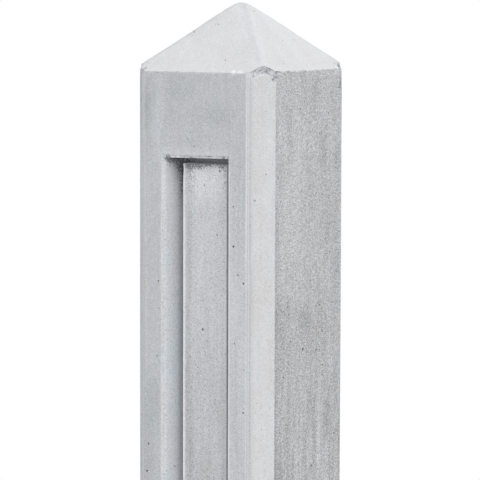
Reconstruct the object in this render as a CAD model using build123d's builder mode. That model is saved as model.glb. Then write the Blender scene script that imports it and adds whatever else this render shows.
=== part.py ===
from build123d import *

import os

# Concrete fence post, cast in one piece.
# Z is up and the origin is the centre of the foot. The fence runs along X,
# so the two grooved faces look along -X and +X, and the plain faces along -Y and +Y.

# Overall sizes, in millimetres
post_length = 1800.0
section_width = 100.0
buried_length = 600.0

# Diamond head: four slopes whose hips and tip are rounded
head_rise = 45.8
hip_radius = 12.0

# Corners: a chamfer, with a shallow easing where it leaves a grooved face
chamfer_leg = 12.7
easing_width = 4.3
easing_depth = 1.1
corner_radius = 1.0

# Groove in each face along the fence line
groove_width = 45.5
groove_depth = 25.0
groove_below_shoulder = 52.0
mouth_bevel = 2.1
wall_draft = 0.8

# Rib that stands in the groove
rib_width = 32.0
rib_setback = 11.0
rib_flare = 0.6
rib_top_gap = 4.0
rib_arris_radius = 0.7

# Sizes that follow from those above
half_width = section_width / 2
corner_start = half_width - chamfer_leg
tip_angle_factor = (1 + (head_rise / half_width) ** 2) ** 0.5
tip_drop = hip_radius * (tip_angle_factor - 1)
shoulder_height = post_length - head_rise + tip_drop
virtual_tip_height = shoulder_height + head_rise
groove_top = shoulder_height - groove_below_shoulder
rib_top = groove_top - rib_top_gap
eaves_reach = half_width + chamfer_leg
eaves_height = virtual_tip_height - head_rise * eaves_reach / half_width


with BuildPart() as post:
    # Two gables crossed at right angles leave four slopes that meet at the tip
    for gable_plane, gable_mode in ((Plane.XZ, Mode.ADD), (Plane.YZ, Mode.INTERSECT)):
        with BuildSketch(gable_plane):
            with BuildLine():
                Polyline(
                    (-eaves_reach, 0),
                    (eaves_reach, 0),
                    (eaves_reach, eaves_height),
                    (0, virtual_tip_height),
                    (-eaves_reach, eaves_height),
                    close=True,
                )
            make_face()
        extrude(amount=eaves_reach, both=True, mode=gable_mode)

    # Hips rounded up to the blunt tip
    hips = post.edges().filter_by(
        lambda edge: edge.bounding_box().max.Z > virtual_tip_height - 0.001
    )
    fillet(hips, radius=hip_radius)

    # The shaft's section trims the slopes, so each chamfer ends under the head in an arch
    with BuildSketch() as section:
        with BuildLine():
            Polyline(
                (half_width, 0),
                (half_width, corner_start),
                (half_width - easing_depth, corner_start + easing_width),
                (corner_start, half_width),
                (0, half_width),
            )
            mirror(about=Plane.XZ)
            mirror(about=Plane.YZ)
        make_face()
        plain_face_corners = section.vertices().group_by(Axis.Y)
        fillet(plain_face_corners[0] + plain_face_corners[-1], radius=corner_radius)
    extrude(amount=virtual_tip_height, mode=Mode.INTERSECT)

    # A groove and its rib in each face along the fence line
    for side in (-1, 1):
        with BuildSketch(Plane.XY.offset(buried_length)):
            with BuildLine():
                Polyline(
                    (side * half_width, groove_width / 2 + mouth_bevel),
                    (side * (half_width - mouth_bevel), groove_width / 2),
                    (side * (half_width - groove_depth), groove_width / 2 - wall_draft),
                    (side * (half_width - groove_depth), 0),
                )
                mirror(about=Plane.XZ)
                Line(
                    (side * half_width, groove_width / 2 + mouth_bevel),
                    (side * half_width, -groove_width / 2 - mouth_bevel),
                )
            make_face()
        extrude(amount=groove_top - buried_length, mode=Mode.SUBTRACT)

        with BuildSketch(Plane.XY.offset(buried_length)) as rib_section:
            with BuildLine():
                Polyline(
                    (side * (half_width - rib_setback), 0),
                    (side * (half_width - rib_setback), rib_width / 2),
                    (side * (half_width - groove_depth), rib_width / 2 + rib_flare),
                    (side * (half_width - groove_depth), 0),
                )
                mirror(about=Plane.XZ)
            make_face()
            rib_corners = rib_section.vertices().group_by(Axis.X)
            fillet(rib_corners[-1] if side > 0 else rib_corners[0], radius=rib_arris_radius)
        extrude(amount=rib_top - buried_length)

        # The same rounding runs over the rib's top
        rib_end = post.faces().filter_by(Axis.Z).sort_by_distance((side * half_width, 0, rib_top))[0]
        rounded_edges = rib_end.edges().sort_by_distance((0, 0, rib_top))[1:]
        fillet(rounded_edges, radius=rib_arris_radius)

post.part.label = "fence_post"

os.makedirs("parts", exist_ok=True)
export_step(post.part, "parts/fence_post.step")
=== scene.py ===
import functools
import math
import random

import bpy
import numpy as np
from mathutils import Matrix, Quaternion, Vector, geometry, noise


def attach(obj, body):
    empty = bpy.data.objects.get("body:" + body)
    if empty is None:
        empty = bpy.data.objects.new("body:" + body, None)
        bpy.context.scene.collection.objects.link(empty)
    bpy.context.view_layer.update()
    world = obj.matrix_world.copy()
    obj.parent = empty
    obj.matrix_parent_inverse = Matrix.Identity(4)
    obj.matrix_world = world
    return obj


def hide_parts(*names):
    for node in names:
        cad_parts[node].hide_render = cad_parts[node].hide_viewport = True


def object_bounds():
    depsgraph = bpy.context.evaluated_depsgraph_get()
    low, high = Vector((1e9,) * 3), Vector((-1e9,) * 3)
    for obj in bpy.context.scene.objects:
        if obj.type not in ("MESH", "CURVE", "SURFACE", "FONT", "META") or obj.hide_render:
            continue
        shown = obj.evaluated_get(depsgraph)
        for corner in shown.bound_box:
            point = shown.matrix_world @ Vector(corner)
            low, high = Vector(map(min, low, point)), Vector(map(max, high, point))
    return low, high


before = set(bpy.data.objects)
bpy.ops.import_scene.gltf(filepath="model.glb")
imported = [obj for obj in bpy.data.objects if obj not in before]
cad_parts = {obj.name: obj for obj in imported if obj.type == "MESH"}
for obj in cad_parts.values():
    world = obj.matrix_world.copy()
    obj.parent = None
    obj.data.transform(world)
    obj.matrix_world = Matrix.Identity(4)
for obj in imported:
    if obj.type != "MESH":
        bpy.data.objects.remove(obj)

cad_low, cad_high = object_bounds()

# Sizes of the casting in millimetres, as the solid has them.
# SKIN keeps the dressed mesh just inside the solid's faces.
MM = 0.001
SKIN = 0.05
FULL_HALF = (cad_high.x - cad_low.x) / 2 / MM
HALF = FULL_HALF - SKIN
TIP = cad_high.z / MM - SKIN
HEAD_RISE = 45.8
HIP_RADIUS = 12.0
LEDGE = 600.0
CHAMFER = 12.7
EASING_WIDTH = 4.3
EASING_DEPTH = 1.1
CORNER_RADIUS = 1.0
GROOVE_BELOW_SHOULDER = 52.0
GROOVE_DEPTH = 25.0
MOUTH = 24.85
MOUTH_BEVEL = 2.1
WALL_DRAFT = 0.8
RIB_TOP_GAP = 4.0
RIB_HALF = 16.15
RIB_SETBACK = 11.0
RIB_FLARE = 0.6
RIB_ARRIS = 0.35

# Sizes that follow from those above
SLOPE = HEAD_RISE / FULL_HALF
VIRTUAL_TIP = TIP + HIP_RADIUS * (math.hypot(1, SLOPE) - 1)
SHOULDER = VIRTUAL_TIP - HEAD_RISE
GROOVE_TOP = SHOULDER - GROOVE_BELOW_SHOULDER
RIB_TOP = GROOVE_TOP - RIB_TOP_GAP
CORNER_START = HALF - CHAMFER
HIP_DROP = HIP_RADIUS * (math.sqrt(2 + 2 * SLOPE**2) / math.sqrt(2 + SLOPE**2) - 1)
HIP_DROP *= math.hypot(1, math.sqrt(0.5) * SLOPE)
HIP_WIDTH = 4 * HIP_DROP / SLOPE

# The head's mould sat a little off the shaft's, towards +X and -Y, less so near the tip
HEAD_SHIFT = 0.4
HEAD_SHIFT_ZONE = (-4, 26)

# The hips are a little sharper at their foot and blunter near the tip
HIP_SHARPENING = 0.25
HIP_FOOT_ZONE = (28, 42)
HIP_BLUNTING = 0.4
HIP_TOP_ZONE = (16, 0)

# The slopes meet in a rounded tip, which a gently leaning plane cuts blunt
TIP_WIDTH = 4.0
BLUNT_HEIGHT = 0.32
BLUNT_LEAN = 0.02
BLUNT_ROUNDING = 2.5

# A strip of torn cement skin runs over the groove, a little behind the face
LIP_HEIGHT = 1.4
LIP_SETBACK = 0.5
LIP_END = GROOVE_TOP + LIP_HEIGHT + 0.15

# The groove's top leans up towards its right-hand side, and the rib's left arris is worn off there
GROOVE_LEAN = 0.0123
RIB_SHIFT = 0.35
RIB_TOP_WEAR = 0.9
RIB_WEAR_HEIGHT = 11.0

# Rough seam between the head's mould and the corner strips, which follows each arch
SEAM_AT_FACE = 1.2
SEAM_HEIGHT = 4.9
SEAM_SETBACK = 0.55
SEAM_BEND_HEIGHT = 14.0

# Beside the corners the seam reaches a little way onto the struck face as well
STRUCK_SEAM_ZONE = (CORNER_START - 6.5, CORNER_START - 1.5)
STRUCK_SEAM_SHARE = 0.85

# The head is drawn in from the shaft, most at the corners
HEAD_INSET = 0.55
HEAD_CORNER_INSET = 0.7

# Its unevenness comes from one level of the noise and is lifted by about its mean,
# and its topmost point is pressed down a little
HEAD_NOISE_LEVEL = SHOULDER + 20
HEAD_LIFT = 0.1
TIP_DROP = 0.1

# The open face was struck off by hand: it lies a little behind one corner strip
STRUCK_STEP = 0.4
MOULD_STEP = 0.05
STRUCK_FADE = 9.0

# Unevenness of the surface: its mean, and its broad, close and gritty parts
WAVE_MEAN = 0.11
WAVE_BROAD = 0.07
WAVE_CLOSE = 0.04
WAVE_GRIT = 0.045

# Wear along an arris: its mean and variation, and chips where the noise passes a threshold
WEAR_MEAN = 0.08
CHIP_DEPTH = 0.9
CHIP_THRESHOLD = 0.45

# Rows of the mesh: close together near the head, wider apart down the shaft
CLOSE_ROWS_FROM = SHOULDER - 255.0
CLOSE_STEP = 1.25
WIDE_STEP = 14.0
FOOT_BEVEL = 1.2

# Stations round the corner of the section, where it goes over into the plain face
ROUNDING_START = 0.4 * CORNER_RADIUS
ROUNDING_MIDDLE = (0.35 * CORNER_RADIUS, 0.03 * CORNER_RADIUS)
ROUNDING_END = 0.75 * CORNER_RADIUS
CHAMFER_SHARES = (0.0, 0.08, 0.24, 0.41, 0.58, 0.75, 0.9)
PLAIN_COLUMNS = 24

# Distances from the middle of the stations beside the groove and on the rib's front
LAND_COLUMNS = (CORNER_START - 2.5, 32.6, 30.0, 27.7, 25.9)
RIB_COLUMNS = (12.6, 11.0, 8.6, 5.8, 2.9)

# Depths of the stations down the groove's wall and up the rib's side, with one on the floor between
WALL_DEPTHS = (2.7, 4.4, 6.8, 10.0, 14.0, 18.5, 22.5, GROOVE_DEPTH)
FLOOR_STATION = 2.6
RIB_SIDE_DEPTHS = (21.0, 16.0, RIB_SETBACK + 2 * RIB_ARRIS)

# The rib's arris is rubbed pale: distance from it along the front, and paleness
RUBBED_STRIP = ((0.6, 1.0), (1.2, 0.6), (2.0, 0.15))

# Fine ridges that the mould's corner strip left along the easing: share of its width, depth, paleness
RIDGES = (
    (0.1, 0.05, 0.3),
    (0.22, 0.16, -0.5),
    (0.36, 0.02, 0.3),
    (0.52, 0.12, -0.4),
    (0.72, 0, 0),
)

# A point this near to a plane counts as on it, and a normal this near to an axis as facing along it
CLOSE = 0.1
FACING = 0.98

# Keeps a length from being zero
TINY = 1e-9

# The dirt mark holds real dirt as well as painted shade: in holes, under the groove's top and in its
# corners
MARKS = ("tone", "blue", "green", "coarse", "drawn", "dirt", "worn")


def soft_max(a, b, width):
    """The larger of two values, rounded over a width where they are nearly equal."""
    overlap = max(width - abs(a - b), 0.0)
    return max(a, b) + overlap * overlap / (4 * width)


def fade(value, start, end):
    """Rises smoothly from 0 at start to 1 at end. Start may lie above end."""
    part = min(max((value - start) / (end - start), 0.0), 1.0)
    return part * part * (3 - 2 * part)


def wobble(x, y, z):
    """Smooth noise between about -1 and 1."""
    return noise.noise(Vector((x, y, z)))


def roof_height(x, y):
    """Height of the head's surface: four slopes with rounded hips and a blunt tip."""
    shift = HEAD_SHIFT * fade(max(abs(x), abs(y)), *HEAD_SHIFT_ZONE)
    x, y = x - shift, y + shift
    reach_x = soft_max(x, -x, TIP_WIDTH)
    reach_y = soft_max(y, -y, TIP_WIDTH)
    reach = max(reach_x, reach_y)
    sharper = HIP_SHARPENING * fade(reach, *HIP_FOOT_ZONE)
    blunter = HIP_BLUNTING * fade(reach, *HIP_TOP_ZONE)
    slopes = VIRTUAL_TIP - SLOPE * soft_max(reach_x, reach_y, HIP_WIDTH * (1 - sharper + blunter))
    blunt = TIP + BLUNT_HEIGHT - BLUNT_LEAN * (x + y)
    return -soft_max(-slopes, -blunt, BLUNT_ROUNDING)


class Station:
    """One point of the section: where it lies on the plain, the recessed and the ribbed stretch."""

    def __init__(self, plain, recess=None, ribbed=None, arris=0.0, relief=0.0, pale=0.0):
        self.plain = plain
        self.recess = recess or plain
        self.ribbed = ribbed or self.recess
        self.arris = arris
        self.relief = relief
        self.pale = pale

    def turned(self, x_sign, y_sign):
        places = [(p[0] * x_sign, p[1] * y_sign) for p in (self.plain, self.recess, self.ribbed)]
        return Station(*places, arris=self.arris, relief=self.relief, pale=self.pale)


def groove_outline():
    """Depth and distance from the middle, from bevel to rib, some with wear, relief and paleness."""
    wall_top = MOUTH - MOUTH_BEVEL
    root = RIB_HALF + RIB_FLARE
    front_edge = RIB_HALF - RIB_ARRIS
    outline = [
        (MOUTH_BEVEL * 0.5, MOUTH - MOUTH_BEVEL * 0.5),
        (MOUTH_BEVEL, wall_top, 0.2, 0.22),
    ]
    for depth in WALL_DEPTHS:
        run = (depth - MOUTH_BEVEL) / (GROOVE_DEPTH - MOUTH_BEVEL)
        outline.append((depth, wall_top - WALL_DRAFT * run))
    outline += [(GROOVE_DEPTH, wall_top - FLOOR_STATION), (GROOVE_DEPTH, root)]
    for depth in RIB_SIDE_DEPTHS:
        run = (GROOVE_DEPTH - depth) / (GROOVE_DEPTH - RIB_SETBACK)
        outline.append((depth, root - RIB_FLARE * run))
    outline += [(RIB_SETBACK + RIB_ARRIS, RIB_HALF, 0.1, 0, 0.9), (RIB_SETBACK, front_edge, 0.1, 0, 1.0)]
    outline += [(RIB_SETBACK, front_edge - inward, 0, 0, pale) for inward, pale in RUBBED_STRIP]
    return outline


def grooved_half_face():
    """Stations on the -X face from its +Y edge to just before its middle."""
    stations = [
        Station((-HALF, CORNER_START - 0.3), arris=0.1, relief=-0.06, pale=0.25),
        Station((-HALF, CORNER_START - 0.9), relief=0.06),
    ]
    stations += [Station((-HALF, y)) for y in LAND_COLUMNS]
    stations.append(Station((-HALF, MOUTH), arris=0.2))
    outline = groove_outline()
    root = RIB_HALF + RIB_FLARE
    rib_start = next(i for i, point in enumerate(outline) if point[1] < root)
    inner_edge = outline[-1][1]
    for i, (depth, y, *wear) in enumerate(outline):
        plain_y = MOUTH + (inner_edge - MOUTH) * (i + 1) / len(outline)
        floor_y = root + (inner_edge - root) * (i + 1 - rib_start) / (len(outline) - rib_start)
        ribbed = (depth - HALF, y)
        recess = ribbed if i < rib_start else (GROOVE_DEPTH - HALF, floor_y)
        stations.append(Station((-HALF, plain_y), recess, ribbed, *wear))
    for y in RIB_COLUMNS:
        places = [(setback - HALF, y) for setback in (0.0, GROOVE_DEPTH, RIB_SETBACK)]
        stations.append(Station(*places))
    return stations


def corner(step):
    """Stations round the corner from the -X face to the -Y face, which lies back by a step."""
    easing_end = (EASING_DEPTH - HALF, -CORNER_START - EASING_WIDTH)
    plain_start = (-CORNER_START, -HALF)
    stations = [Station((-HALF, -CORNER_START), arris=0.3, pale=0.2)]
    for part, relief, pale in RIDGES:
        place = (EASING_DEPTH * part - HALF, -CORNER_START - EASING_WIDTH * part)
        stations.append(Station(place, relief=relief, pale=pale))
    rounding = ROUNDING_START / math.dist(easing_end, plain_start)
    for part in (*CHAMFER_SHARES, 1 - rounding):
        x = easing_end[0] + (plain_start[0] - easing_end[0]) * part
        y = easing_end[1] + (plain_start[1] - easing_end[1]) * part
        stations.append(Station((x, y), relief=0.12 if part == 0.0 else 0.0))
    stations[-1].arris = 0.3
    middle = (ROUNDING_MIDDLE[0] - CORNER_START, ROUNDING_MIDDLE[1] - HALF)
    stations.append(Station(middle, arris=0.2 + step, pale=0.3))
    stations.append(Station((ROUNDING_END - CORNER_START, -HALF), arris=0.1 + step, relief=step))
    return stations


def plain_face(step, far_step):
    """Stations across the -Y face, between the steps at its two edges."""
    reach = CORNER_START - ROUNDING_END
    stations = []
    for i in range(1, PLAIN_COLUMNS):
        x = -reach + 2 * reach * i / PLAIN_COLUMNS
        relief = step * fade(reach + x, STRUCK_FADE, 0) + far_step * fade(reach - x, STRUCK_FADE, 0)
        stations.append(Station((x, -HALF), relief=relief))
    return stations


def section_stations():
    """The whole outline, counter-clockwise seen from above, from the -X face's +Y edge."""
    half_face = grooved_half_face()
    middle = Station((-HALF, 0), (GROOVE_DEPTH - HALF, 0), (RIB_SETBACK - HALF, 0))
    grooved_face = half_face + [middle] + [s.turned(1, -1) for s in reversed(half_face)]
    outline = []
    for side, step in ((1, STRUCK_STEP), (-1, MOULD_STEP)):
        second_corner = [s.turned(-1, 1) for s in reversed(corner(MOULD_STEP))]
        quarter = grooved_face + corner(step) + plain_face(step, MOULD_STEP) + second_corner
        outline += [s.turned(side, side) for s in quarter]
    return outline


STATIONS = section_stations()
COUNT = len(STATIONS)


def unit(vectors):
    return vectors / (np.linalg.norm(vectors, axis=1)[:, None] + TINY)


def outward_normals(points):
    """Unit normals of a closed counter-clockwise outline at its points."""
    before = unit(points - np.roll(points, 1, axis=0))
    tangent = before + unit(np.roll(points, -1, axis=0) - points)
    return unit(np.stack([tangent[:, 1], -tangent[:, 0]], axis=1))


KINDS = ("plain", "recess", "ribbed")
PLACES = {kind: np.array([getattr(s, kind) for s in STATIONS], float) for kind in KINDS}
NORMALS = {kind: outward_normals(PLACES[kind]) for kind in KINDS}
IN_GROOVE = [s.plain != s.recess for s in STATIONS]
IN_RIB = [s.recess != s.ribbed for s in STATIONS]


def off_square(x, y):
    """How far a point of the section lies behind the corner of the full square, from 0 on a face to 1."""
    cut = 2 * HALF - abs(x) - abs(y)
    in_corner = cut < CHAMFER + EASING_DEPTH
    return fade(max(abs(x), abs(y)), HALF - 2 * CLOSE, HALF - EASING_DEPTH) if in_corner else 0.0


CHAMFERED = [off_square(*s.plain) for s in STATIONS]
INSETS = [HEAD_INSET + HEAD_CORNER_INSET * cut for cut in CHAMFERED]


def seam_share(x, y):
    """How deep the seam reaches: 0 on a face, 1 at a corner, and less on the struck face beside it."""
    on_struck_face = y < CLOSE - HALF
    beside_corner = STRUCK_SEAM_SHARE * fade(abs(x), *STRUCK_SEAM_ZONE) if on_struck_face else 0.0
    return max(off_square(x, y), beside_corner)


SEAM_SHARES = [seam_share(*s.plain) for s in STATIONS]
HEAD_EDGE = PLACES["plain"] - NORMALS["plain"] * np.array(INSETS)[:, None]
ROOF = [roof_height(*place) for place in HEAD_EDGE]

# Patches on the faces, as the photograph shows them. Each has its place across the face, its height
# from the shoulder, its reach across and up, and its strength: of green here, of a change of tone below.
GREEN_CLOUDS = (
    (12.8, -11.5, 12, 9, 0.45),
    (-18.7, -25.7, 11, 8, 0.4),
    (35.1, -33.4, 6, 30, 0.4),
    (32.9, -205.0, 9, 24, 0.8),
    (-33.3, -85.0, 5, 30, 0.35),
)
FRONT_SHADES = (
    (39.5, -19.0, 7, 19, -0.13),
    (35.8, -18.4, 6, 18, -0.03),
    (7.8, -2.5, 5, 3, -0.04),
    (-5.5, -3.7, 8, 3, -0.03),
    (18.1, -3.7, 6, 4, -0.03),
    (3.3, -10.4, 4, 5, -0.04),
    (-3.3, -23.9, 9, 8, -0.035),
    (-16.6, -27.6, 7, 8, -0.04),
    (18.1, -27.5, 6, 6, -0.035),
    (25.5, -17.8, 4, 16, 0.03),
    (28.5, -36.0, 5, 16, 0.06),
    (4.8, -37.4, 6, 5, 0.025),
    (33.3, -241.0, 7, 14, -0.07),
    (38.5, -232.0, 6, 22, -0.07),
    (-32.0, -208.0, 5, 30, -0.04),
)
STRUCK_SHADES = (
    (-16.2, -88.6, 14, 66, 0.06),
    (-15.0, -62.0, 8, 20, 0.04),
    (7.4, -12.0, 5, 9, -0.1),
    (3.2, -20.0, 3, 7, -0.08),
    (-20.3, -30.0, 4, 4, -0.06),
    (-30.0, -38.0, 6, 12, 0.07),
    (-8.0, -36.0, 10, 18, 0.04),
    (16.4, -48.5, 4, 28, -0.07),
    (-3.2, -48.0, 3, 30, -0.04),
    (33.2, -51.5, 4, 12, -0.11),
    (32.0, -98.0, 5, 45, -0.06),
    (19.0, -101.0, 4, 30, -0.05),
    (-5.6, -151.0, 7, 9, -0.1),
    (2.7, -153.0, 3, 8, -0.06),
    (11.5, -218.0, 3, 33, 0.1),
    (0.3, -210.0, 3, 18, -0.08),
    (21.5, -215.0, 3, 14, -0.17),
    (23.8, -198.0, 3, 8, -0.08),
    (31.0, -225.0, 8, 40, -0.06),
    (30.0, -128.0, 7, 24, -0.06),
    (-18.9, -245.0, 3, 4, -0.14),
    (3.2, -243.0, 3, 4, -0.11),
)

# Distances at which a patch begins and is at its full strength, as shares of its reach
GREEN_EDGE = (1.3, 0.2)
SHADE_EDGE = (1.3, 0.3)
SHADE_RAGGEDNESS = 0.4


def patchwork(patches, across, z, edge, ragged=0.0):
    """What the patches of a face add up to at one place."""
    total = 0.0
    for middle, height, reach, up, strength in patches:
        distance = math.hypot((across - middle) / reach, (z - SHOULDER - height) / up)
        total += strength * fade(distance + ragged, *edge)
    return total


def shade(shades, across, z):
    """Change of tone that the patches of a face make at one place, with ragged outlines."""
    ragged = SHADE_RAGGEDNESS * wobble(across / 4, z / 7, 12.0)
    return patchwork(shades, across, z, SHADE_EDGE, ragged)


def waviness(x, y, z, rough):
    """Depth in millimetres of the gentle unevenness that the mould or the float leaves."""
    broad = wobble(x / 38, y / 38, z / 70)
    close = wobble(x / 9 + 7, y / 9, z / 16)
    grit = wobble(x / 2.3, y / 2.3 + 9, z / 2.1) if rough else 0.0
    return WAVE_MEAN + WAVE_BROAD * broad + WAVE_CLOSE * close + WAVE_GRIT * rough * grit


def wear_depth(lane, z):
    """Depth in millimetres of wear and small chips along an arris."""
    small = wobble(lane, 0.0, z / 2.6)
    large = wobble(lane, 5.0, z / 11.0)
    return WEAR_MEAN * (1 + small) + CHIP_DEPTH * max(small + 0.5 * large - CHIP_THRESHOLD, 0.0)


# Marks of each kind of surface, before they change from place to place
SMOOTH = dict(tone=1.0, blue=0.35, green=0.45, coarse=0.3, drawn=0.2, dirt=0.0, worn=0.0)
MOULDED_FACE = dict(SMOOTH, tone=0.93, blue=0.3, coarse=0.5)
STRUCK_FACE = dict(SMOOTH, tone=0.862, blue=0.3, coarse=0.9, drawn=0.5)
GROOVED_FACE = dict(SMOOTH, tone=0.91, blue=1.0, coarse=0.38)
RIB_FRONT = dict(SMOOTH, blue=0.5, coarse=0.55, drawn=0.6)
GROOVE_SIDES = dict(SMOOTH, blue=0.9, coarse=0.45)
CHAMFER_FACE = dict(SMOOTH, blue=0.05, coarse=0.2)
EASING = dict(SMOOTH, tone=0.97, blue=0.6, coarse=0.2)
HEAD = dict(SMOOTH, tone=0.99, blue=0.15, coarse=0.12, drawn=0.0)

# Zones below the shoulder: streaks grow stronger down both plain faces. The struck one is darker
# below a ragged edge, and along a rim at its left-hand corner, twice as wide below that edge.
DRAWN_ZONE = (120, 230)
LOWER_ZONE = (134, 146)
LOWER_RAGGEDNESS = 5
LOWER_DARKENING = 0.045
RIM_WIDTH = 5.5
RIM_ZONE = (5, 45)
RIM_DARKENING = 0.13

# Distances from the rib's middle over which a painted shadow begins: a darker, bluish strip of its front,
# shaded by the groove's left side
STRIP_ZONE = (7.6, 11.6)

# The wedge of painted shadow under the groove's top reaches further down the deeper in it hangs
WEDGE_HEIGHT = 2.4
WEDGE_RISE = 0.25
WEDGE_CURVE = 0.035
WEDGE_CORE = 0.45

# How the marks change. Each change has a strength and the stretches, named after the measures
# of a spot, over which it fades in: all of it counts only where every stretch is past its end.
# Painted light along the rib's top, where the groove's top shades it, together with paler cement there;
# darker tone lower down
RIB_LIGHT_AND_TONES = (
    (0.17, ("under_rib", 32, 8), ("across", 17, 9)),
    (-0.025, ("below", 200, 245)),
    (-0.10, ("under_rib", 70, 150)),
)
# Dirt and painted shadow on the rib's left part, along the painted strip and below its top
LEFT_RIB_DIRT_AND_SHADE = (
    (0.08, ("across", *STRIP_ZONE), ("under_rib", 90, 8)),
    (0.30, ("across", 5.0, 8.5), ("across", 14, 11), ("under_rib", 34, 8)),
)
# Painted shade in the rib's upper right corner
RIGHT_RIB_CORNER_SHADE = ((0.35, ("across", 11.5, 15.5), ("under_rib", 40, 5)),)
# Painted light over the rib's right part, which evens out the shadow of the groove's right side, and darker
# patches low down at its edge
RIGHT_RIB_LIGHT_AND_TONES = (
    (0.05, ("across", 3, 13)),
    (0.04, ("across", 10, 14)),
    (-0.09, ("across", 11, 14), ("under_rib", 70, 150)),
    (0.035, ("across", 3, 7), ("under_rib", 50, 100)),
    (-0.07, ("across", 10, 14), ("below", 190, 240)),
)
# Painted light on the left wall, which evens out its shading: lighter near the mouth and deep in by the
# rib, darker at the mouth low down
LEFT_WALL_PAINTED_LIGHT = (
    (0.07, ("depth", 14, 4)),
    (0.16, ("depth", 15, 22)),
    (0.03, ("depth", 9, 14), ("under", 30, 60)),
    (0.04, ("under", 45, 12), ("depth", 12, 3)),
    (-0.07, ("depth", 2.5, 1.0), ("below", 70, 110)),
)
# Painted shade deep in the left wall's upper corner, under the groove's top
LEFT_CORNER_SHADE = ((0.55, ("depth", 11, 18), ("under", 42, 6)),)


class Spot:
    """Place of a vertex, with the measures in millimetres along which its marks change."""

    def __init__(self, kind, j, z):
        self.kind = kind
        self.x, self.y = PLACES[kind][j]
        self.nx, self.ny = NORMALS[kind][j]
        self.z = z
        self.across = abs(self.y)
        self.depth = HALF - abs(self.x)
        self.below = SHOULDER - z
        self.under = GROOVE_TOP - z
        self.under_rib = RIB_TOP - z
        self.left_hand = self.x * self.y < 0
        self.in_groove = IN_GROOVE[j]
        self.in_rib = IN_RIB[j]
        self.chamfered = CHAMFERED[j]
        self.pale = STATIONS[j].pale


def changes_at(spot, changes):
    """How much each of some changes counts at a spot."""
    parts = []
    for strength, *stretches in changes:
        for measure, start, end in stretches:
            strength *= fade(getattr(spot, measure), start, end)
        parts.append(strength)
    return parts


def paint_plain_face(spot):
    """The moulded face at +Y, or the one at -Y that was struck off by hand."""
    if spot.y > 0:
        marks = dict(MOULDED_FACE)
    else:
        marks = dict(STRUCK_FACE)
        ragged = LOWER_RAGGEDNESS * wobble(spot.x / 6, spot.z / 40, 1.0)
        lower = fade(spot.below + ragged, *LOWER_ZONE)
        rim = fade(CORNER_START + spot.x, RIM_WIDTH * (1 + lower), 0.5) * fade(spot.below, *RIM_ZONE)
        marks["tone"] -= LOWER_DARKENING * lower + RIM_DARKENING * rim
        marks["tone"] += shade(STRUCK_SHADES, spot.x, spot.z)
    marks["drawn"] += 0.7 * fade(spot.below, *DRAWN_ZONE)
    return marks


def paint_grooved_face(spot):
    """A face with a groove, beside and above it. Only the one at -X has patches."""
    marks = dict(GROOVED_FACE)
    if not spot.left_hand and spot.kind == "ribbed":
        marks.update(drawn=0.7, blue=0.75, coarse=0.45)
        marks["tone"] += 0.08 * fade(spot.under, 0, 30)
    if spot.x < 0:
        green = patchwork(GREEN_CLOUDS, spot.y, spot.z, GREEN_EDGE)
        marks["green"] = 0.3 + green
        marks["tone"] += shade(FRONT_SHADES, spot.y, spot.z) - 0.05 * green
    if spot.kind == "plain" and spot.across < MOUTH + 2:
        marks["tone"] += 0.10 * fade(spot.under, -9, -2)
    marks["tone"] += 0.04 * fade(spot.below, 2.5, 0.0)
    return marks


def paint_rib_front(spot):
    """The rib's front, with dirt and a painted shadow of the groove's top in a ragged band along its top.
    """
    marks = dict(RIB_FRONT)
    marks["tone"] += sum(changes_at(spot, RIB_LIGHT_AND_TONES))
    # Painted shadow of the groove's left side, as a darker, bluish strip
    if spot.left_hand:
        strip_shadow = fade(spot.across, *STRIP_ZONE)
        marks["tone"] -= 0.09 * strip_shadow
        marks["blue"] += 0.3 * strip_shadow
        dirt = max(changes_at(spot, LEFT_RIB_DIRT_AND_SHADE))
    else:
        marks["tone"] += sum(changes_at(spot, RIGHT_RIB_LIGHT_AND_TONES))
        dirt = max(changes_at(spot, RIGHT_RIB_CORNER_SHADE))
    # Dirt and a painted shadow of the groove's top hang in a ragged band below the rib's top
    soiled_and_shaded_height = 2.6 + 2.8 * fade(spot.x * spot.y, 150, -150) + 7 * (spot.across / RIB_HALF) ** 5
    marks["dirt"] = max(dirt, 0.85 * fade(spot.under_rib, soiled_and_shaded_height, 0.3))
    return marks


def paint_groove(spot):
    """Walls and floor of a groove and sides of its rib. A wedge of painted shadow hangs from the groove's
    top.
    """
    marks = dict(GROOVE_SIDES)
    if spot.left_hand:
        marks["tone"] += sum(changes_at(spot, LEFT_WALL_PAINTED_LIGHT))
        # Painted shadow that the groove's top casts on the left wall
        reach = WEDGE_HEIGHT + WEDGE_RISE * spot.depth + WEDGE_CURVE * spot.depth**2
        wedge = fade(spot.under, reach, WEDGE_CORE * reach) * fade(spot.depth, 1.0, 2.6)
        wedge *= 0.55 + 0.25 * fade(spot.depth, 6, 12)
        marks["dirt"] = max(wedge, *changes_at(spot, LEFT_CORNER_SHADE))
    if spot.kind == "recess" and spot.in_rib:
        marks.update(tone=0.98, dirt=0.0)
    elif spot.kind == "recess" and spot.depth > 20:
        marks["dirt"] *= 0.4
    # The rib's right side, seen in the groove's narrow slit, is painted dark as shade
    elif spot.kind == "ribbed" and spot.in_rib and not spot.left_hand:
        marks["tone"] -= 0.25
    return marks


def paint_chamfer(spot):
    marks = dict(CHAMFER_FACE)
    if spot.x < 0 < spot.y:
        marks["blue"] = 0.9
        marks["tone"] += shade(FRONT_SHADES, spot.y, spot.z) - 0.02
    if spot.y < 0 < spot.x:
        marks["tone"] += 0.12
    if spot.depth < EASING_DEPTH + CLOSE / 2:
        marks["blue"] = 0.5
        marks["tone"] -= 0.035 * fade(spot.below, 60, 160)
    return marks


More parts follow.
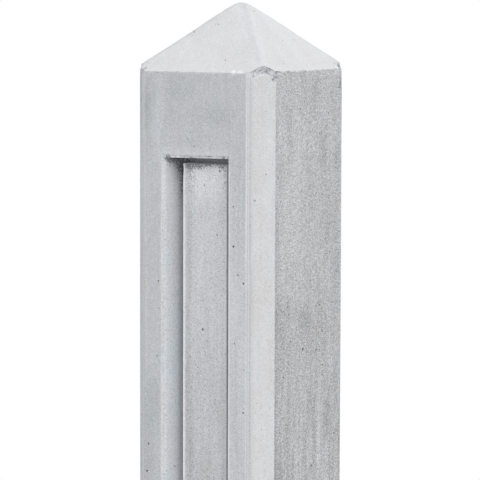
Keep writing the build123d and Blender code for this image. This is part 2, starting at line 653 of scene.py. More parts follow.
def paint_arrises(spot, marks):
    """Pale wear along the arrises, and the shade in the furrows between the fine ridges."""
    at_mouth = not spot.in_groove and abs(spot.across - MOUTH) < CLOSE
    if at_mouth and spot.kind == "ribbed" and not spot.left_hand:
        marks["worn"] = 0.6
    if spot.pale < 0:
        marks["tone"] += 0.2 * spot.pale
    elif spot.kind == "ribbed" and spot.in_rib:
        marks["worn"] = spot.pale * (1.0 if spot.left_hand else 0.25)
    elif not spot.in_groove:
        on_ridge = CORNER_START + 0.5 < spot.across < HALF - 2 * CLOSE
        lost = 0.0 if on_ridge else 0.75 * fade(spot.below, 60, 180)
        marks["worn"] = max(marks["worn"], spot.pale * (1 - lost))


def paint(kind, j, z):
    """Marks of the surface at one station and height, for the concrete material."""
    spot = Spot(kind, j, z)
    if abs(spot.ny) > FACING and spot.across > HALF - CLOSE:
        marks = paint_plain_face(spot)
    elif abs(spot.nx) > FACING and spot.depth < CLOSE:
        marks = paint_grooved_face(spot)
    elif kind == "ribbed" and spot.in_rib and abs(spot.nx) > FACING:
        marks = paint_rib_front(spot)
    elif kind != "plain" and spot.in_groove:
        marks = paint_groove(spot)
    elif spot.chamfered > 0.5:
        marks = paint_chamfer(spot)
    elif spot.depth < EASING_DEPTH and spot.across > CORNER_START:
        marks = dict(EASING)
        marks["tone"] -= 0.05 * fade(spot.below, 60, 200)
    else:
        marks = dict(SMOOTH)
    paint_arrises(spot, marks)
    return marks


class Casting:
    """Vertices, faces and surface marks of the post, in millimetres."""

    def __init__(self):
        self.points = []
        self.faces = []
        self.marks = {name: [] for name in MARKS}
        self.rows = []
        self.opened = set()

    def add(self, point, marks):
        self.points.append(point)
        for name, values in self.marks.items():
            values.append(marks[name])
        return len(self.points) - 1

    def surface_point(self, kind, j, z, setback):
        x, y = PLACES[kind][j]
        nx, ny = NORMALS[kind][j]
        struck = y < CLOSE - HALF and abs(ny) > FACING
        station = STATIONS[j]
        depth = waviness(x, y, z, 1.0 if struck else 0.0) + setback
        if station.plain != (x, y) or not IN_GROOVE[j]:
            depth += station.relief * (0.8 + 0.5 * wobble(j, 2.0, z / 30))
            depth += station.arris * wear_depth(j * 3.7, z)
        if kind == "ribbed" and IN_RIB[j] and x * y < 0:
            worn_off = RIB_TOP_WEAR * fade(RIB_TOP - z, RIB_WEAR_HEIGHT, -4)
            y += math.copysign(RIB_SHIFT - worn_off, y) * fade(abs(y), 5, RIB_HALF)
        return Vector((x - nx * depth, y - ny * depth, z))

    def ring(self, kind, heights, setbacks=(0.0,) * COUNT, shared=(False,) * COUNT):
        """Adds a row. Heights and setbacks are one per station, and shared stations reuse the row below."""
        row = []
        for j, z in enumerate(heights):
            if shared[j]:
                row.append(self.rows[-1][j])
            else:
                point = self.surface_point(kind, j, z, setbacks[j])
                row.append(self.add(point, paint(kind, j, z)))
        self.rows.append(row)
        return row

    def rise(self, kind, start, end, size):
        """Adds level rows above a start, up to and including an end, about a size apart."""
        for z in steps(start, end, size):
            self.ring(kind, level(z))

    def close_up(self):
        """Faces between the rows, apart from the cells that holes have opened."""
        for i, (low, high) in enumerate(zip(self.rows, self.rows[1:])):
            for j in range(COUNT):
                if (i, j) not in self.opened:
                    k = (j + 1) % COUNT
                    self.face([low[j], low[k], high[k], high[j]])

    def face(self, corners):
        unique = list(dict.fromkeys(corners))
        if len(unique) > 2:
            self.faces.append(unique)


def steps(start, end, size):
    """Heights after start up to and including end, evenly spaced at about the given size."""
    count = max(1, round((end - start) / size))
    return [start + (end - start) * (i + 1) / count for i in range(count)]


def level(z):
    """Heights of a level row, which leans a little where it is near the groove's top."""
    lean = GROOVE_LEAN * fade(z, RIB_TOP - 40, RIB_TOP)
    lean *= fade(z, SHOULDER - SEAM_BEND_HEIGHT, GROOVE_TOP + 10)
    reach = [min(max(x * y / HALF, -MOUTH), MOUTH) for x, y in PLACES["plain"]]
    return [z + lean * share for share in reach]


def raise_shaft(casting):
    """Rows from the foot to the torn lip over the groove."""
    marks = casting.marks
    casting.ring("plain", level(0.0), setbacks=[FOOT_BEVEL] * COUNT)
    casting.ring("plain", level(FOOT_BEVEL))
    casting.rise("plain", FOOT_BEVEL, LEDGE, WIDE_STEP)
    face_stations = [not inside for inside in IN_GROOVE]
    casting.ring("ribbed", level(LEDGE), shared=face_stations)
    casting.rise("ribbed", LEDGE, CLOSE_ROWS_FROM, WIDE_STEP)
    rib_shoulder = RIB_TOP - RIB_ARRIS
    casting.rise("ribbed", CLOSE_ROWS_FROM, rib_shoulder, CLOSE_STEP)
    for turn in (math.radians(45), math.radians(90)):
        back = RIB_ARRIS * (1 - math.cos(turn))
        setbacks = [back if inside else 0.0 for inside in IN_RIB]
        row = casting.ring("ribbed", level(rib_shoulder + RIB_ARRIS * math.sin(turn)), setbacks)
    for j, inside in enumerate(IN_RIB):
        if inside:
            marks["dirt"][row[j]] = 0.0
            marks["worn"][row[j]] = 1.1 + 0.9 * wobble(j * 0.6, 2.0, 5.0)
    off_rib = [not inside for inside in IN_RIB]
    casting.ring("recess", level(RIB_TOP), shared=off_rib)
    casting.rise("recess", RIB_TOP, GROOVE_TOP, CLOSE_STEP)

    # Ceiling of the groove and the torn lip in front of it
    lip = [LIP_SETBACK if inside else 0.0 for inside in IN_GROOVE]
    casting.ring("plain", level(GROOVE_TOP), setbacks=lip, shared=face_stations)
    for z in steps(GROOVE_TOP, GROOVE_TOP + LIP_HEIGHT, LIP_HEIGHT / 3):
        torn = [back * (0.8 + 1.1 * wobble(j * 0.8, z / 0.9, 3.0)) for j, back in enumerate(lip)]
        row = casting.ring("plain", level(z), setbacks=torn)
        for j, inside in enumerate(IN_GROOVE):
            if inside:
                chance = wobble(j * 0.55, z / 1.6, 6.0)
                marks["tone"][row[j]] += 0.4 * chance - 0.04
                marks["worn"][row[j]] = 1.2 * max(chance - 0.16, 0.0)
                marks["dirt"][row[j]] = 2.5 * max(-chance - 0.12, 0.0)
    casting.ring("plain", level(LIP_END))


def raise_shoulder(casting):
    """Rows that bend up to the arches under the head, and the seam that follows them."""
    marks = casting.marks
    bend_from = SHOULDER - SEAM_BEND_HEIGHT
    casting.rise("plain", LIP_END, bend_from, CLOSE_STEP)
    seam = [SEAM_AT_FACE + (SEAM_HEIGHT - SEAM_AT_FACE) * share for share in SEAM_SHARES]
    seam_foot = [top - height for top, height in zip(ROOF, seam)]
    last = SHOULDER - SEAM_AT_FACE
    for z in steps(bend_from, last, CLOSE_STEP):
        part = (z - bend_from) / (last - bend_from)
        casting.ring("plain", [z + (foot - last) * part * part for foot in seam_foot])

    # Share of the seam's height, setback at a corner and on a face, and darkness at a corner
    seam_rows = (
        (0.06, 0.35, 0.0, 0.30),
        (0.14, 0.65, 0.0, 0.34),
        (0.3, 0.9, 0.0, 0.22),
        (0.5, 1.3, 0.1, 0.22),
        (0.7, 1.7, 0.1, 0.26),
        (0.85, 2.0, 0.2, 0.30),
        (0.93, 1.5, 0.35, 0.10),
    )
    for part, at_corner, at_face, dark in seam_rows:
        heights = []
        setbacks = []
        for j, cut in enumerate(SEAM_SHARES):
            ragged = wobble(j * 0.7, part * 5, 8.0)
            heights.append(seam_foot[j] + seam[j] * (part + 0.12 * ragged * (1 - part)))
            setbacks.append(SEAM_SETBACK * (at_face + (at_corner - at_face) * cut) * (1 + 0.8 * ragged))
        row = casting.ring("plain", heights, setbacks)
        for j, (vertex, cut) in enumerate(zip(row, SEAM_SHARES)):
            x, y = PLACES["plain"][j]
            patchy = 1 + 1.2 * wobble(j * 0.9, part * 4, 2.0)
            marks["tone"][vertex] -= dark * cut * patchy * (0.25 if x * y < 0 else 1.0)
            marks["worn"][vertex] = 0.12 * (1 - cut) * part
            marks["blue"][vertex] = 0.35 + 0.6 * cut
            marks["green"][vertex] -= 0.45 * cut
            marks["dirt"][vertex] = 2.0 * max(wobble(j * 1.1, part * 3, 11.0) - 0.3, 0.0)
            marks["coarse"][vertex] += 0.4 * CHAMFERED[j]


# Sizes of the rings up the head, as shares of its edge
HEAD_RINGS = (
    (0.998, 0.985, 0.96, 0.925, 0.885, 0.84, 0.79, 0.735, 0.675, 0.61)
    + (0.54, 0.465, 0.39, 0.315, 0.245, 0.18, 0.12, 0.07, 0.03)
)


def paint_head(x, y):
    """Marks of the head, with painted shade: a darker, bluish band along two of the hips, and darker slopes
    facing -X and +X.
    """
    marks = dict(HEAD)
    from_hip = abs(x - HEAD_SHIFT) - abs(y + HEAD_SHIFT)
    hip_shade_band = fade(from_hip, -5, -0.5) * fade(from_hip, 7, 2)
    # Painted shade on the slopes facing -X and +X, and along the hips
    marks["tone"] -= 0.045 * fade(from_hip, -2, 1) + 0.02 * fade(from_hip, 20, 4) * (x < 0)
    marks["tone"] -= 0.05 * hip_shade_band * (1 + 1.4 * wobble(x / 5, y / 5, 4.0))
    marks["blue"] += 0.25 * hip_shade_band
    marks["dirt"] = 0.1 * hip_shade_band
    return marks


def raise_head(casting):
    """Rings that shrink along the slopes to the tip, which closes them."""
    for share in HEAD_RINGS:
        row = []
        for x, y in HEAD_EDGE * share:
            depth = waviness(x, y, HEAD_NOISE_LEVEL, 0.0) - HEAD_LIFT
            row.append(casting.add(Vector((x, y, roof_height(x, y) - depth)), paint_head(x, y)))
        casting.rows.append(row)
    tip = casting.add(Vector((0, 0, roof_height(0, 0) - TIP_DROP)), HEAD)
    for j in range(COUNT):
        casting.face([row[j], row[(j + 1) % COUNT], tip])


# Dents and chips about the shoulder: X, Y, height from it, reach, depth, dirt and paleness
DENTS = (
    (-50.1, -37.2, 0.3, 2.2, 0.2, 0.2, 0),
    (-48.2, -39.1, -1.7, 2.4, 0, 0.0, 0.3),
    (-40.7, -46.6, 1.3, 1.7, 0.4, 0.9, 0),
    (-37.1, -50.2, -3.5, 2.6, 0.5, 0.8, 0),
    (-47.5, 38.2, 1.2, 1.5, 0.3, 1.0, 0),
    (-47.6, 39.1, -0.1, 1.9, 0.3, 1.0, 0),
    (38.2, -47.8, 2.4, 3.2, 0.8, 0.7, 0),
    (35.0, -47.0, 3.6, 2.2, 0.2, 0.45, 0),
    (33.0, -49.3, 0.2, 3.2, 0.4, 0, 0.45),
    (30.0, -49.5, -1.6, 2.0, 0.3, 0, 0.35),
    (37.6, -49.4, -4.0, 3.2, 0.4, 0.6, 0),
    (37.0, -49.6, -8.0, 3.0, 0.3, 0.75, 0),
    (34.6, -49.8, -11.0, 2.6, 0.2, 0.6, 0),
    (-39.0, -48.4, -1.0, 1.6, 0.3, 0.5, 0),
    (-38.0, -49.6, -4.4, 1.3, 0.4, 0.8, 0),
    (-49.7, 16.4, -52.5, 1.5, 0, 0.0, 1.0),
    (-49.7, 13.2, -52.5, 1.5, 0, 0.0, 1.0),
    (-49.7, 20.0, -51.9, 2.0, 0.3, 0.7, 0),
    (-49.7, 7.4, -51.8, 1.5, 0.2, 1.0, 0),
    (-49.7, 3.3, -51.8, 1.4, 0.2, 1.0, 0),
    (-49.7, -7.0, -51.8, 1.4, 0.2, 1.0, 0),
    (-49.7, -20.3, -51.8, 1.8, 0.2, 1.0, 0),
    (-45.5, -42.0, 1.8, 1.5, 0.2, 0.5, 0),
    (-43.5, -44.0, 2.6, 1.3, 0.2, 0.6, 0),
    (-48.0, -39.8, -2.8, 1.8, 0, 0.0, 0.35),
    (-49.9, -27.3, 0.7, 2.0, 0.2, 0, 0.9),
    (-49.9, -31.5, 0.5, 1.8, 0.2, 0, 0.7),
)


def press_dents(casting):
    """Presses the dents into the casting, and soils them or bares the paler cement."""
    marks = casting.marks
    places = np.array(casting.points)
    for x, y, height, reach, depth, dirt, pale in DENTS:
        distances = np.linalg.norm(places - (x, y, SHOULDER + height), axis=1) / reach
        inward = Vector((-x, -y, 0)).normalized()
        for k in np.flatnonzero(distances < 1):
            share = (1 - distances[k] ** 2) * (1 + 0.5 * wobble(*casting.points[k]))
            casting.points[k] += inward * depth * share
            marks["dirt"][k] = max(marks["dirt"][k], dirt * share)
            marks["worn"][k] = max(marks["worn"][k], pale * share)


# Holes that the photograph shows: X, Y, height from the shoulder, and width of each
SEEN_HOLES = (
    (-7.8, -4.8, 38.3, 0.8),
    (-4.9, -9.3, 37.6, 0.8),
    (-2.0, -10.9, 36.2, 0.9),
    (-24, 19, 23.6, 1.7),
    (-42, -16.5, 7.5, 1.1),
    (0, -30, 18, 1.0),
    (12.6, -30, 18.5, 1.0),
    (-50, 0.5, -45, 1.2),
    (-50, 5.4, -40.6, 0.9),
    (-50, -28, -80, 1.0),
    (-50, -28.1, -104, 1.8),
    (-50, -31.6, -121, 1.2),
    (-50, -35.5, -126, 1.5),
    (-50, 27.0, -128, 1.2),
    (-50, 28.0, -174, 1.1),
    (-50, -35.5, -204, 1.3),
    (-50, 34.5, -229, 1.6),
    (-39, 0.7, -69, 1.1),
    (-39, -9, -99, 1.0),
    (-39, 1.7, -157, 1.7),
    (-38, 22.3, -227, 1.1),
    (-46.6, -40.7, -76, 1.0),
    (-41.6, -45.7, -60.5, 0.9),
    (-50, 26.6, -144.6, 0.9),
    (-50, -35.8, -178, 0.9),
    (-50, 35.6, -246, 1.6),
    (-50, 35.8, -205.5, 0.9),
    (-10, -50, -22.4, 1.7),
    (-21.5, -50, -26, 1.1),
    (12, -50, -38, 1.1),
    (16, -50, -160, 1.7),
    (-20, -50, -163, 1.4),
    (-6, -50, -169, 2.3),
    (30, -50, -225, 1.5),
    (-27.5, -50, -223, 1.1),
    (4.5, -50, -242, 2.0),
    (12.9, -50, -143.5, 1.1),
    (34.5, -50, -132.4, 1.0),
    (-11, -50, -213, 1.0),
    (-18.2, -50, -244, 1.0),
    (-33, 50, -14.7, 1.3),
)
RANDOM_HOLES = 300
RANDOM_HOLES_NEAR_HEAD = 50
HOLE_SEED = 4
RIM_POINTS = 9

# Width of the smallest random hole, and how much wider the widest may be
SMALLEST_HOLE = 0.5
HOLE_SPREAD = 0.9

# A hole's depth and radii vary between these shares of its width and half width
HOLE_DEPTHS = (0.5, 0.8)
HOLE_RADII = (0.82, 1.1)

# The patch of cells that a hole is cut from reaches this share of its width to each side of its middle,
# in few steps, over cells that are nearly flat and not too small
PATCH_REACH = 0.62
MOST_STEPS = 7
FLATNESS = 0.92
SMALLEST_CELL = 0.01


class HoleMaker:
    """Opens small round bowls in the rows of a casting, as air bubbles leave them."""

    def __init__(self, casting):
        self.casting = casting
        self.chance = random.Random(HOLE_SEED)
        self.places = np.array([casting.points[v] for row in casting.rows for v in row])

    def vertex(self, i, j):
        return self.casting.rows[i][j % COUNT]

    def point(self, i, j):
        return self.casting.points[self.vertex(i, j)]

    def normal(self, i, j):
        """Vector across a cell, twice as long as the cell's area."""
        across = self.point(i + 1, j + 1) - self.point(i, j)
        return across.cross(self.point(i + 1, j) - self.point(i, j + 1))

    def walk(self, start, way, last, far_enough):
        """Moves from start in steps until far enough, or gives up with nothing."""
        for here in range(start, start + way * MOST_STEPS, way):
            if not 1 <= here <= last:
                return None
            if far_enough(here):
                return here
        return None

    def enclose(self, centre, i, j, normal, reach):
        """Bottom and top row, left and right station of a flat, whole patch round a circle.

        Stations count on past the end of the outline, so that a patch may lie across its start.
        """
        across = (self.point(i, j + 1) - self.point(i, j)).normalized()
        up = normal.cross(across)
        rows, stations = len(self.casting.rows) - 1, 3 * COUNT
        start = j + COUNT
        sides = [
            self.walk(i, -1, rows, lambda a: (centre - self.point(a, j)).dot(up) > reach),
            self.walk(i + 1, 1, rows, lambda a: (self.point(a, j) - centre).dot(up) > reach),
            self.walk(start, -1, stations, lambda b: (centre - self.point(i, b)).dot(across) > reach),
            self.walk(start, 1, stations, lambda b: (self.point(i, b) - centre).dot(across) > reach),
        ]
        if None in sides:
            return None
        low, high, left, right = sides
        for a in range(low, high):
            for b in range(left, right):
                facing = self.normal(a, b)
                flat = facing.length > SMALLEST_CELL and facing.normalized().dot(normal) > FLATNESS
                if not flat or (a, b % COUNT) in self.casting.opened:
                    return None
        return sides

    def open(self, target, i, j, width):
        """Opens a hole at a cell, nearest to the target, unless an arris or another hole is too near."""
        normal = self.normal(i, j)
        if normal.length < SMALLEST_CELL:
            return
        normal.normalize()
        centre = target - normal * (target - self.point(i, j)).dot(normal)
        patch = self.enclose(centre, i, j, normal, PATCH_REACH * width)
        if patch is None:
            return
        low, high, left, right = patch
        loop = [self.vertex(low, b) for b in range(left, right)]
        loop += [self.vertex(a, right) for a in range(low, high)]
        loop += [self.vertex(high, b) for b in range(right, left, -1)]
        loop += [self.vertex(a, left) for a in range(high, low, -1)]
        self.casting.opened.update((a, b % COUNT) for a in range(low, high) for b in range(left, right))
        self.bowl(centre, normal, loop, width)

    def bowl(self, centre, normal, loop, width):
        """Rim, two rings and the bottom of a hole, and the faces that join its rim to the loop round it."""
        casting = self.casting
        side = normal.orthogonal().normalized()
        other = normal.cross(side)
        clean = {name: casting.marks[name][loop[0]] for name in MARKS}
        # The inside of each hole is painted dark, as shade in the hollow
        hole_shade = dict(clean, dirt=1.0, worn=0.0)
        depth = width * self.chance.uniform(*HOLE_DEPTHS)
        shape = [0.5 * width * self.chance.uniform(*HOLE_RADII) for _ in range(RIM_POINTS)]
        rings = []
        for share, sink, marks in ((1.0, 0.0, clean), (0.88, 0.35, hole_shade), (0.5, 0.85, hole_shade)):
            ring = []
            for k, radius in enumerate(shape):
                turn = 2 * math.pi * k / RIM_POINTS
                offset = (side * math.cos(turn) + other * math.sin(turn)) * radius * share
                ring.append(casting.add(centre + offset - normal * depth * sink, marks))
            rings.append(ring)
        outlines = [[casting.points[v] for v in line] for line in (loop, rings[0])]
        corners = loop + rings[0]
        for triangle in geometry.tessellate_polygon(outlines):
            a, b, c = (casting.points[corners[k]] for k in triangle)
            facing = (b - a).cross(c - a).dot(normal)
            order = triangle if facing > 0 else reversed(triangle)
            casting.face([corners[k] for k in order])
        bottom = casting.add(centre - normal * depth, hole_shade)
        for k in range(RIM_POINTS):
            after = (k + 1) % RIM_POINTS
            for outer, inner in zip(rings, rings[1:]):
                casting.face([outer[k], outer[after], inner[after], inner[k]])
            casting.face([rings[-1][k], rings[-1][after], bottom])

    def open_seen(self):
        for x, y, height, width in SEEN_HOLES:
            target = Vector((x, y, SHOULDER + height))
            nearest = int(np.argmin(np.linalg.norm(self.places - np.array(target), axis=1)))
            self.open(target, nearest // COUNT, nearest % COUNT, width)

    def open_random(self, count, from_height):
        last = len(self.casting.rows) - 1
        first = next(i for i in range(last) if self.point(i, 0).z > from_height)
        cells = [(i, j) for i in range(first, last) for j in range(COUNT)]
        areas = [self.normal(*cell).length for cell in cells]
        for i, j in self.chance.choices(cells, weights=areas, k=count):
            corners = [self.point(i, j), self.point(i, j + 1), self.point(i + 1, j)]
            share, rise = self.chance.random(), self.chance.random()
            target = corners[0] + (corners[1] - corners[0]) * share + (corners[2] - corners[0]) * rise
            width = SMALLEST_HOLE + HOLE_SPREAD * self.chance.random() ** 3
            self.open(target, i, j, width)


def build_casting():
    casting = Casting()
    raise_shaft(casting)
    raise_shoulder(casting)
    raise_head(casting)
    press_dents(casting)
    holes = HoleMaker(casting)
    holes.open_seen()
    holes.open_random(RANDOM_HOLES_NEAR_HEAD, CLOSE_ROWS_FROM)
    holes.open_random(RANDOM_HOLES, 0)
    casting.close_up()
    casting.face(list(reversed(casting.rows[0])))
    return casting


# Edges that turn by more than this are shown sharp
SHARP_ANGLE = math.radians(35)


def make_piece(casting):
    mesh = bpy.data.meshes.new("cast_concrete_post")
    mesh.from_pydata([p * MM for p in casting.points], [], casting.faces)
    mesh.update()
    for name, values in casting.marks.items():
        attribute = mesh.attributes.new(name, "FLOAT", "POINT")
        attribute.data.foreach_set("value", values)
    mesh.shade_smooth()
    mesh.set_sharp_from_angle(angle=SHARP_ANGLE)
    piece = bpy.data.objects.new("cast_concrete_post", mesh)
    bpy.context.scene.collection.objects.link(piece)
    return piece


class ShaderBuilder:
    """Adds nodes to the shader of a new material or world."""

    def __init__(self, owner):
        owner.use_nodes = True
        self.nodes = owner.node_tree.nodes
        self.links = owner.node_tree.links

    def feed(self, node, inputs):
        """Inputs by name or number. Each value may be a number, a colour or the output of another node."""
        for key, value in inputs.items():
            if isinstance(value, bpy.types.NodeSocket):
                self.links.new(value, node.inputs[key])
            else:
                node.inputs[key].default_value = value

    def add(self, kind, inputs, **settings):
        node = self.nodes.new("ShaderNode" + kind)
        for name, value in settings.items():
            setattr(node, name, value)
        self.feed(node, inputs)
        return node

    @functools.cached_property
    def position(self):
        return self.add("TexCoord", {}).outputs["Object"]

    def attribute(self, name):
        return self.add("Attribute", {}, attribute_name=name).outputs["Fac"]

    def math(self, operation, *values):
        return self.add("Math", dict(enumerate(values)), operation=operation).outputs[0]

    def sum(self, *values):
        return functools.reduce(lambda a, b: self.math("ADD", a, b), values)

    def times(self, *values):
        return functools.reduce(lambda a, b: self.math("MULTIPLY", a, b), values)

    def rising(self, mark, least, gain):
        """A strength that is least where the mark is 0, and rises with the mark by a gain."""
        return self.sum(least, self.times(mark, gain))

    def clamped(self, value):
        value.node.use_clamp = True
        return value

    def noise(self, size_mm, detail, roughness=0.5, stretch=(1, 1, 1), shift=0.0):
        """Noise around zero, between about -0.5 and 0.5, with features of about the given size."""
        place = {"Vector": self.position, "Scale": stretch, "Location": (shift, shift, shift)}
        texture = {
            "Vector": self.add("Mapping", place).outputs[0],
            "Scale": 1 / (size_mm * MM),
            "Detail": detail,
            "Roughness": roughness,
        }
        return self.math("SUBTRACT", self.add("TexNoise", texture).outputs["Fac"], 0.5)

    def cells(self, size_mm):
        """Irregular cells: the distance from their middles, and a value from 0 to 1 that each has."""
        texture = self.add("TexVoronoi", {"Vector": self.position, "Scale": 1 / (size_mm * MM)})
        channels = self.add("SeparateColor", {0: texture.outputs["Color"]})
        return texture.outputs["Distance"], channels.outputs[0]

    def specks(self, spacing_mm, radius, share):
        """One in a share of the cells holds a small round speck, which is 1 inside and 0 outside."""
        distance, value = self.cells(spacing_mm)
        return self.times(self.math("LESS_THAN", distance, radius), self.math("LESS_THAN", value, share))

    def grains(self, size_mm):
        """Cells like grains of sand, each with its own value between -0.5 and 0.5."""
        return self.math("SUBTRACT", self.cells(size_mm)[1], 0.5)

    def blend(self, share, first, second):
        colours = {"Factor": share, "A": first, "B": second}
        return self.add("Mix", colours, data_type="RGBA").outputs["Result"]

    def end_with_mix(self, share, first, second, output):
        """Sends a mixture of two shaders to the output."""
        mix = self.add("MixShader", {0: share, 1: first.outputs[0], 2: second.outputs[0]})
        self.feed(self.nodes[output], {"Surface": mix.outputs[0]})


NEUTRAL_GREY = (0.603, 0.603, 0.611, 1)
BLUE_GREY = (0.601, 0.603, 0.631, 1)
GREEN_GREY = (0.568, 0.603, 0.631, 1)
DIRT_AND_SHADE_GREY = (0.235, 0.245, 0.262, 1)
LAITANCE = (0.89, 0.90, 0.93, 1)
GREEN_DARKENING = -0.06
LIFT = 0.025
MOST_CLOUD = 0.21
ROUGHNESS = 0.84
SHEEN = 0.25
BUMP_MM = 0.25


def concrete_material():
    material = bpy.data.materials.new("cast_concrete")
    build = ShaderBuilder(material)
    tone, blue, green, coarse, drawn, dirt, worn = (build.attribute(name) for name in MARKS)

    # Tints wander in clouds: bluish and darker greenish ones on a neutral grey
    clouds = build.noise(size_mm=15, detail=2, roughness=0.62, stretch=(1, 1, 0.55))
    patches = build.noise(size_mm=4.5, detail=2, roughness=0.6, stretch=(1, 1, 0.7), shift=0.3)
    green_share = build.clamped(build.sum(green, build.times(clouds, 2.6), build.times(patches, 1.6)))
    coolness = build.clamped(build.sum(blue, build.times(clouds, 0.7), build.times(patches, 0.5)))
    cool_tint = build.blend(green_share, BLUE_GREY, GREEN_GREY)
    colour = build.blend(coolness, NEUTRAL_GREY, cool_tint)

    # Brightness: clouds, streaks and runs along the mould, and fine grain, most of it on the struck face
    grain = build.noise(size_mm=0.9, detail=1, roughness=0.6)
    grains = build.grains(size_mm=0.42)
    sand = build.noise(size_mm=2.2, detail=3, roughness=0.7, shift=0.5)
    streaks = build.noise(size_mm=1.4, detail=2, stretch=(1, 1, 0.03), shift=0.2)
    runs = build.noise(size_mm=4.2, detail=2, roughness=0.55, stretch=(1, 1, 0.08), shift=0.7)
    cloud_strength = build.math("MINIMUM", build.rising(coarse, least=0.09, gain=0.45), MOST_CLOUD)
    brightness = build.sum(
        tone,
        build.times(green_share, blue, GREEN_DARKENING),
        LIFT,
        build.times(clouds, cloud_strength),
        build.times(patches, 0.07),
        build.times(streaks, build.rising(drawn, least=0.06, gain=0.20)),
        build.times(runs, drawn, 0.36),
        build.times(grain, build.rising(coarse, least=0.06, gain=0.12)),
        build.times(grains, build.rising(coarse, least=0.08, gain=0.72)),
    )
    # Pinholes are painted as dark specks: the shade inside holes too small for the mesh
    close_pinholes = build.specks(spacing_mm=1.7, radius=0.19, share=0.25)
    wide_pinholes = build.specks(spacing_mm=7.0, radius=0.07, share=0.35)
    pinhole_shade_strength = build.rising(coarse, least=0.15, gain=0.45)
    pinhole_shade = build.times(build.sum(close_pinholes, wide_pinholes), pinhole_shade_strength)
    scaled = {0: colour, "Scale": build.math("SUBTRACT", brightness, pinhole_shade)}
    colour = build.add("VectorMath", scaled, operation="SCALE").outputs[0]

    # Dirt and painted shade gather in broken patches, and worn arrises show the paler cement
    soil = build.grains(size_mm=0.8)
    spread = build.sum(build.times(soil, 2.2), build.times(sand, 1.2), build.times(patches, 1.2))
    broken = build.clamped(build.sum(build.times(dirt, 2.4), spread, -0.6))
    some_dirt = build.clamped(build.times(dirt, 3.0))
    colour = build.blend(build.times(broken, some_dirt), colour, DIRT_AND_SHADE_GREY)
    rubbed = build.clamped(build.times(worn, build.rising(sand, least=0.95, gain=1.6)))
    colour = build.blend(rubbed, colour, LAITANCE)

    height = build.sum(
        build.times(grain, build.rising(coarse, least=0.05, gain=0.3)),
        build.times(sand, coarse, coarse, 0.35),
        build.times(patches, 0.25),
    )
    bump = build.add("Bump", {"Distance": BUMP_MM * MM, "Height": height})
    surface = {
        "Base Color": colour,
        "Roughness": build.sum(ROUGHNESS, build.times(coarse, 0.1), build.times(grain, 0.1)),
        "Specular IOR Level": SHEEN,
        "Normal": bump.outputs[0],
    }
    build.feed(build.nodes["Principled BSDF"], surface)
    return material


# Camera at the photograph's angle, aimed at the head of the post from just above its tip,
# in metres, radians and the photograph's pixels, with the sensor's width in millimetres
CAMERA_DISTANCE = 1.805
CAMERA_SIDE = math.radians(33.913)
CAMERA_ABOVE_SHOULDER = 0.0569
CAMERA_PITCH = math.radians(5.13)
CAMERA_ROLL = math.radians(0.147)
FOCAL_PIXELS = 2931
FRAME_PIXELS = 480
SENSOR = 36.0
AIM_PIXELS = 0.76


def add_object(name, data):
    holder = bpy.data.objects.new(name, data)
    bpy.context.scene.collection.objects.link(holder)
    holder.rotation_mode = "QUATERNION"
    return holder


def add_camera():
    camera = bpy.data.cameras.new("camera")
    camera.sensor_width = SENSOR
    camera.lens = FOCAL_PIXELS / FRAME_PIXELS * SENSOR
    holder = add_object("camera", camera)
    holder.location = (
        -math.cos(CAMERA_SIDE) * CAMERA_DISTANCE,
        -math.sin(CAMERA_SIDE) * CAMERA_DISTANCE,
        SHOULDER * MM + CAMERA_ABOVE_SHOULDER,
    )
    heading = CAMERA_SIDE + AIM_PIXELS / FOCAL_PIXELS
    ahead = Vector((math.cos(heading), math.sin(heading), -math.tan(CAMERA_PITCH)))
    roll = Quaternion((0, 0, 1), CAMERA_ROLL)
    holder.rotation_quaternion = ahead.to_track_quat("-Z", "Y") @ roll
    bpy.context.scene.camera = holder


# Soft lamps: name, azimuth from the -X face's normal towards the -Y face's, elevation, softness, strength
LAMPS = (
    ("key", 50, 20, 60, 2.07),
    ("front", 20, 20, 60, 0.75),
    ("left", -45, 8, 40, 1.10),
    ("top", 110, 57, 40, 1.90),
    ("back", -125, 25, 60, 1.8),
)
LAMP_DISTANCE = 3
AMBIENT_LEVEL = 0.03
WHITE = (1, 1, 1, 1)


def add_lamp(name, azimuth, elevation, softness, strength):
    lamp = bpy.data.lights.new(name, "SUN")
    lamp.angle = math.radians(softness)
    lamp.energy = strength
    holder = add_object(name, lamp)
    side, rise = math.radians(azimuth), math.radians(elevation)
    towards = Vector(
        (-math.cos(side) * math.cos(rise), -math.sin(side) * math.cos(rise), math.sin(rise))
    )
    holder.location = towards * LAMP_DISTANCE
    holder.rotation_quaternion = (-towards).to_track_quat("-Z", "Y")


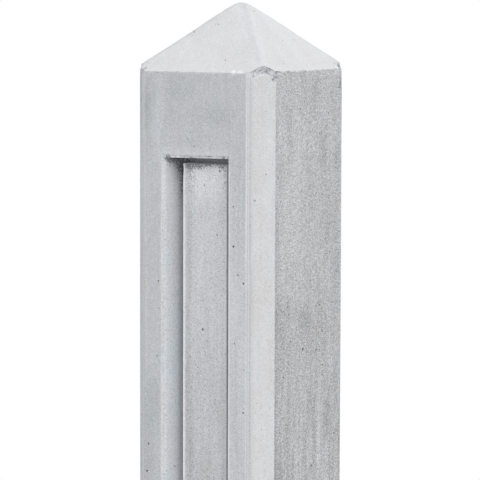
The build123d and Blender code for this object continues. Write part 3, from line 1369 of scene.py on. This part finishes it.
def add_world():
    """Even light from all round, and a white background for the camera."""
    world = bpy.data.worlds.new("studio")
    bpy.context.scene.world = world
    build = ShaderBuilder(world)
    ambient = build.nodes["Background"]
    build.feed(ambient, {"Color": WHITE, "Strength": AMBIENT_LEVEL})
    backdrop = build.add("Background", {"Color": WHITE, "Strength": 1})
    path = build.add("LightPath", {}).outputs
    seen = build.math("MAXIMUM", path["Is Camera Ray"], path["Is Glossy Ray"])
    seen = build.math("MAXIMUM", seen, path["Is Transmission Ray"])
    build.end_with_mix(seen, ambient, backdrop, "World Output")


FLOOR_RADIUS = 1.6
FLOOR_FADE_FROM = 0.5
FLOOR_FADE_TO = 0.97 * FLOOR_RADIUS
FLOOR_CORNERS = 96
FLOOR_GREY = (0.80, 0.80, 0.80, 1)


def floor_material():
    """Pale floor that turns into the white of the backdrop towards its rim."""
    material = bpy.data.materials.new("studio_floor")
    build = ShaderBuilder(material)
    surface = build.nodes["Principled BSDF"]
    build.feed(surface, {"Base Color": FLOOR_GREY, "Roughness": 0.9})
    from_middle = build.add("VectorMath", {0: build.position}, operation="LENGTH").outputs["Value"]
    zone = {"Value": from_middle, "From Min": FLOOR_FADE_FROM, "From Max": FLOOR_FADE_TO}
    outward = build.add("MapRange", zone, interpolation_type="SMOOTHSTEP").outputs[0]
    clear = build.add("BsdfTransparent", {})
    build.end_with_mix(outward, surface, clear, "Material Output")
    return material


def add_floor():
    mesh = bpy.data.meshes.new("floor")
    rim = []
    for i in range(FLOOR_CORNERS):
        turn = 2 * math.pi * i / FLOOR_CORNERS
        rim.append((FLOOR_RADIUS * math.cos(turn), FLOOR_RADIUS * math.sin(turn), 0))
    mesh.from_pydata(rim, [], [list(range(FLOOR_CORNERS))])
    mesh.materials.append(floor_material())
    add_object("floor", mesh)


post = make_piece(build_casting())
post.data.materials.append(concrete_material())
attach(post, "root")
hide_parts("fence_post")

add_camera()
add_world()
for lamp in LAMPS:
    add_lamp(*lamp)
add_floor()
bpy.context.scene.view_settings.view_transform = "Standard"
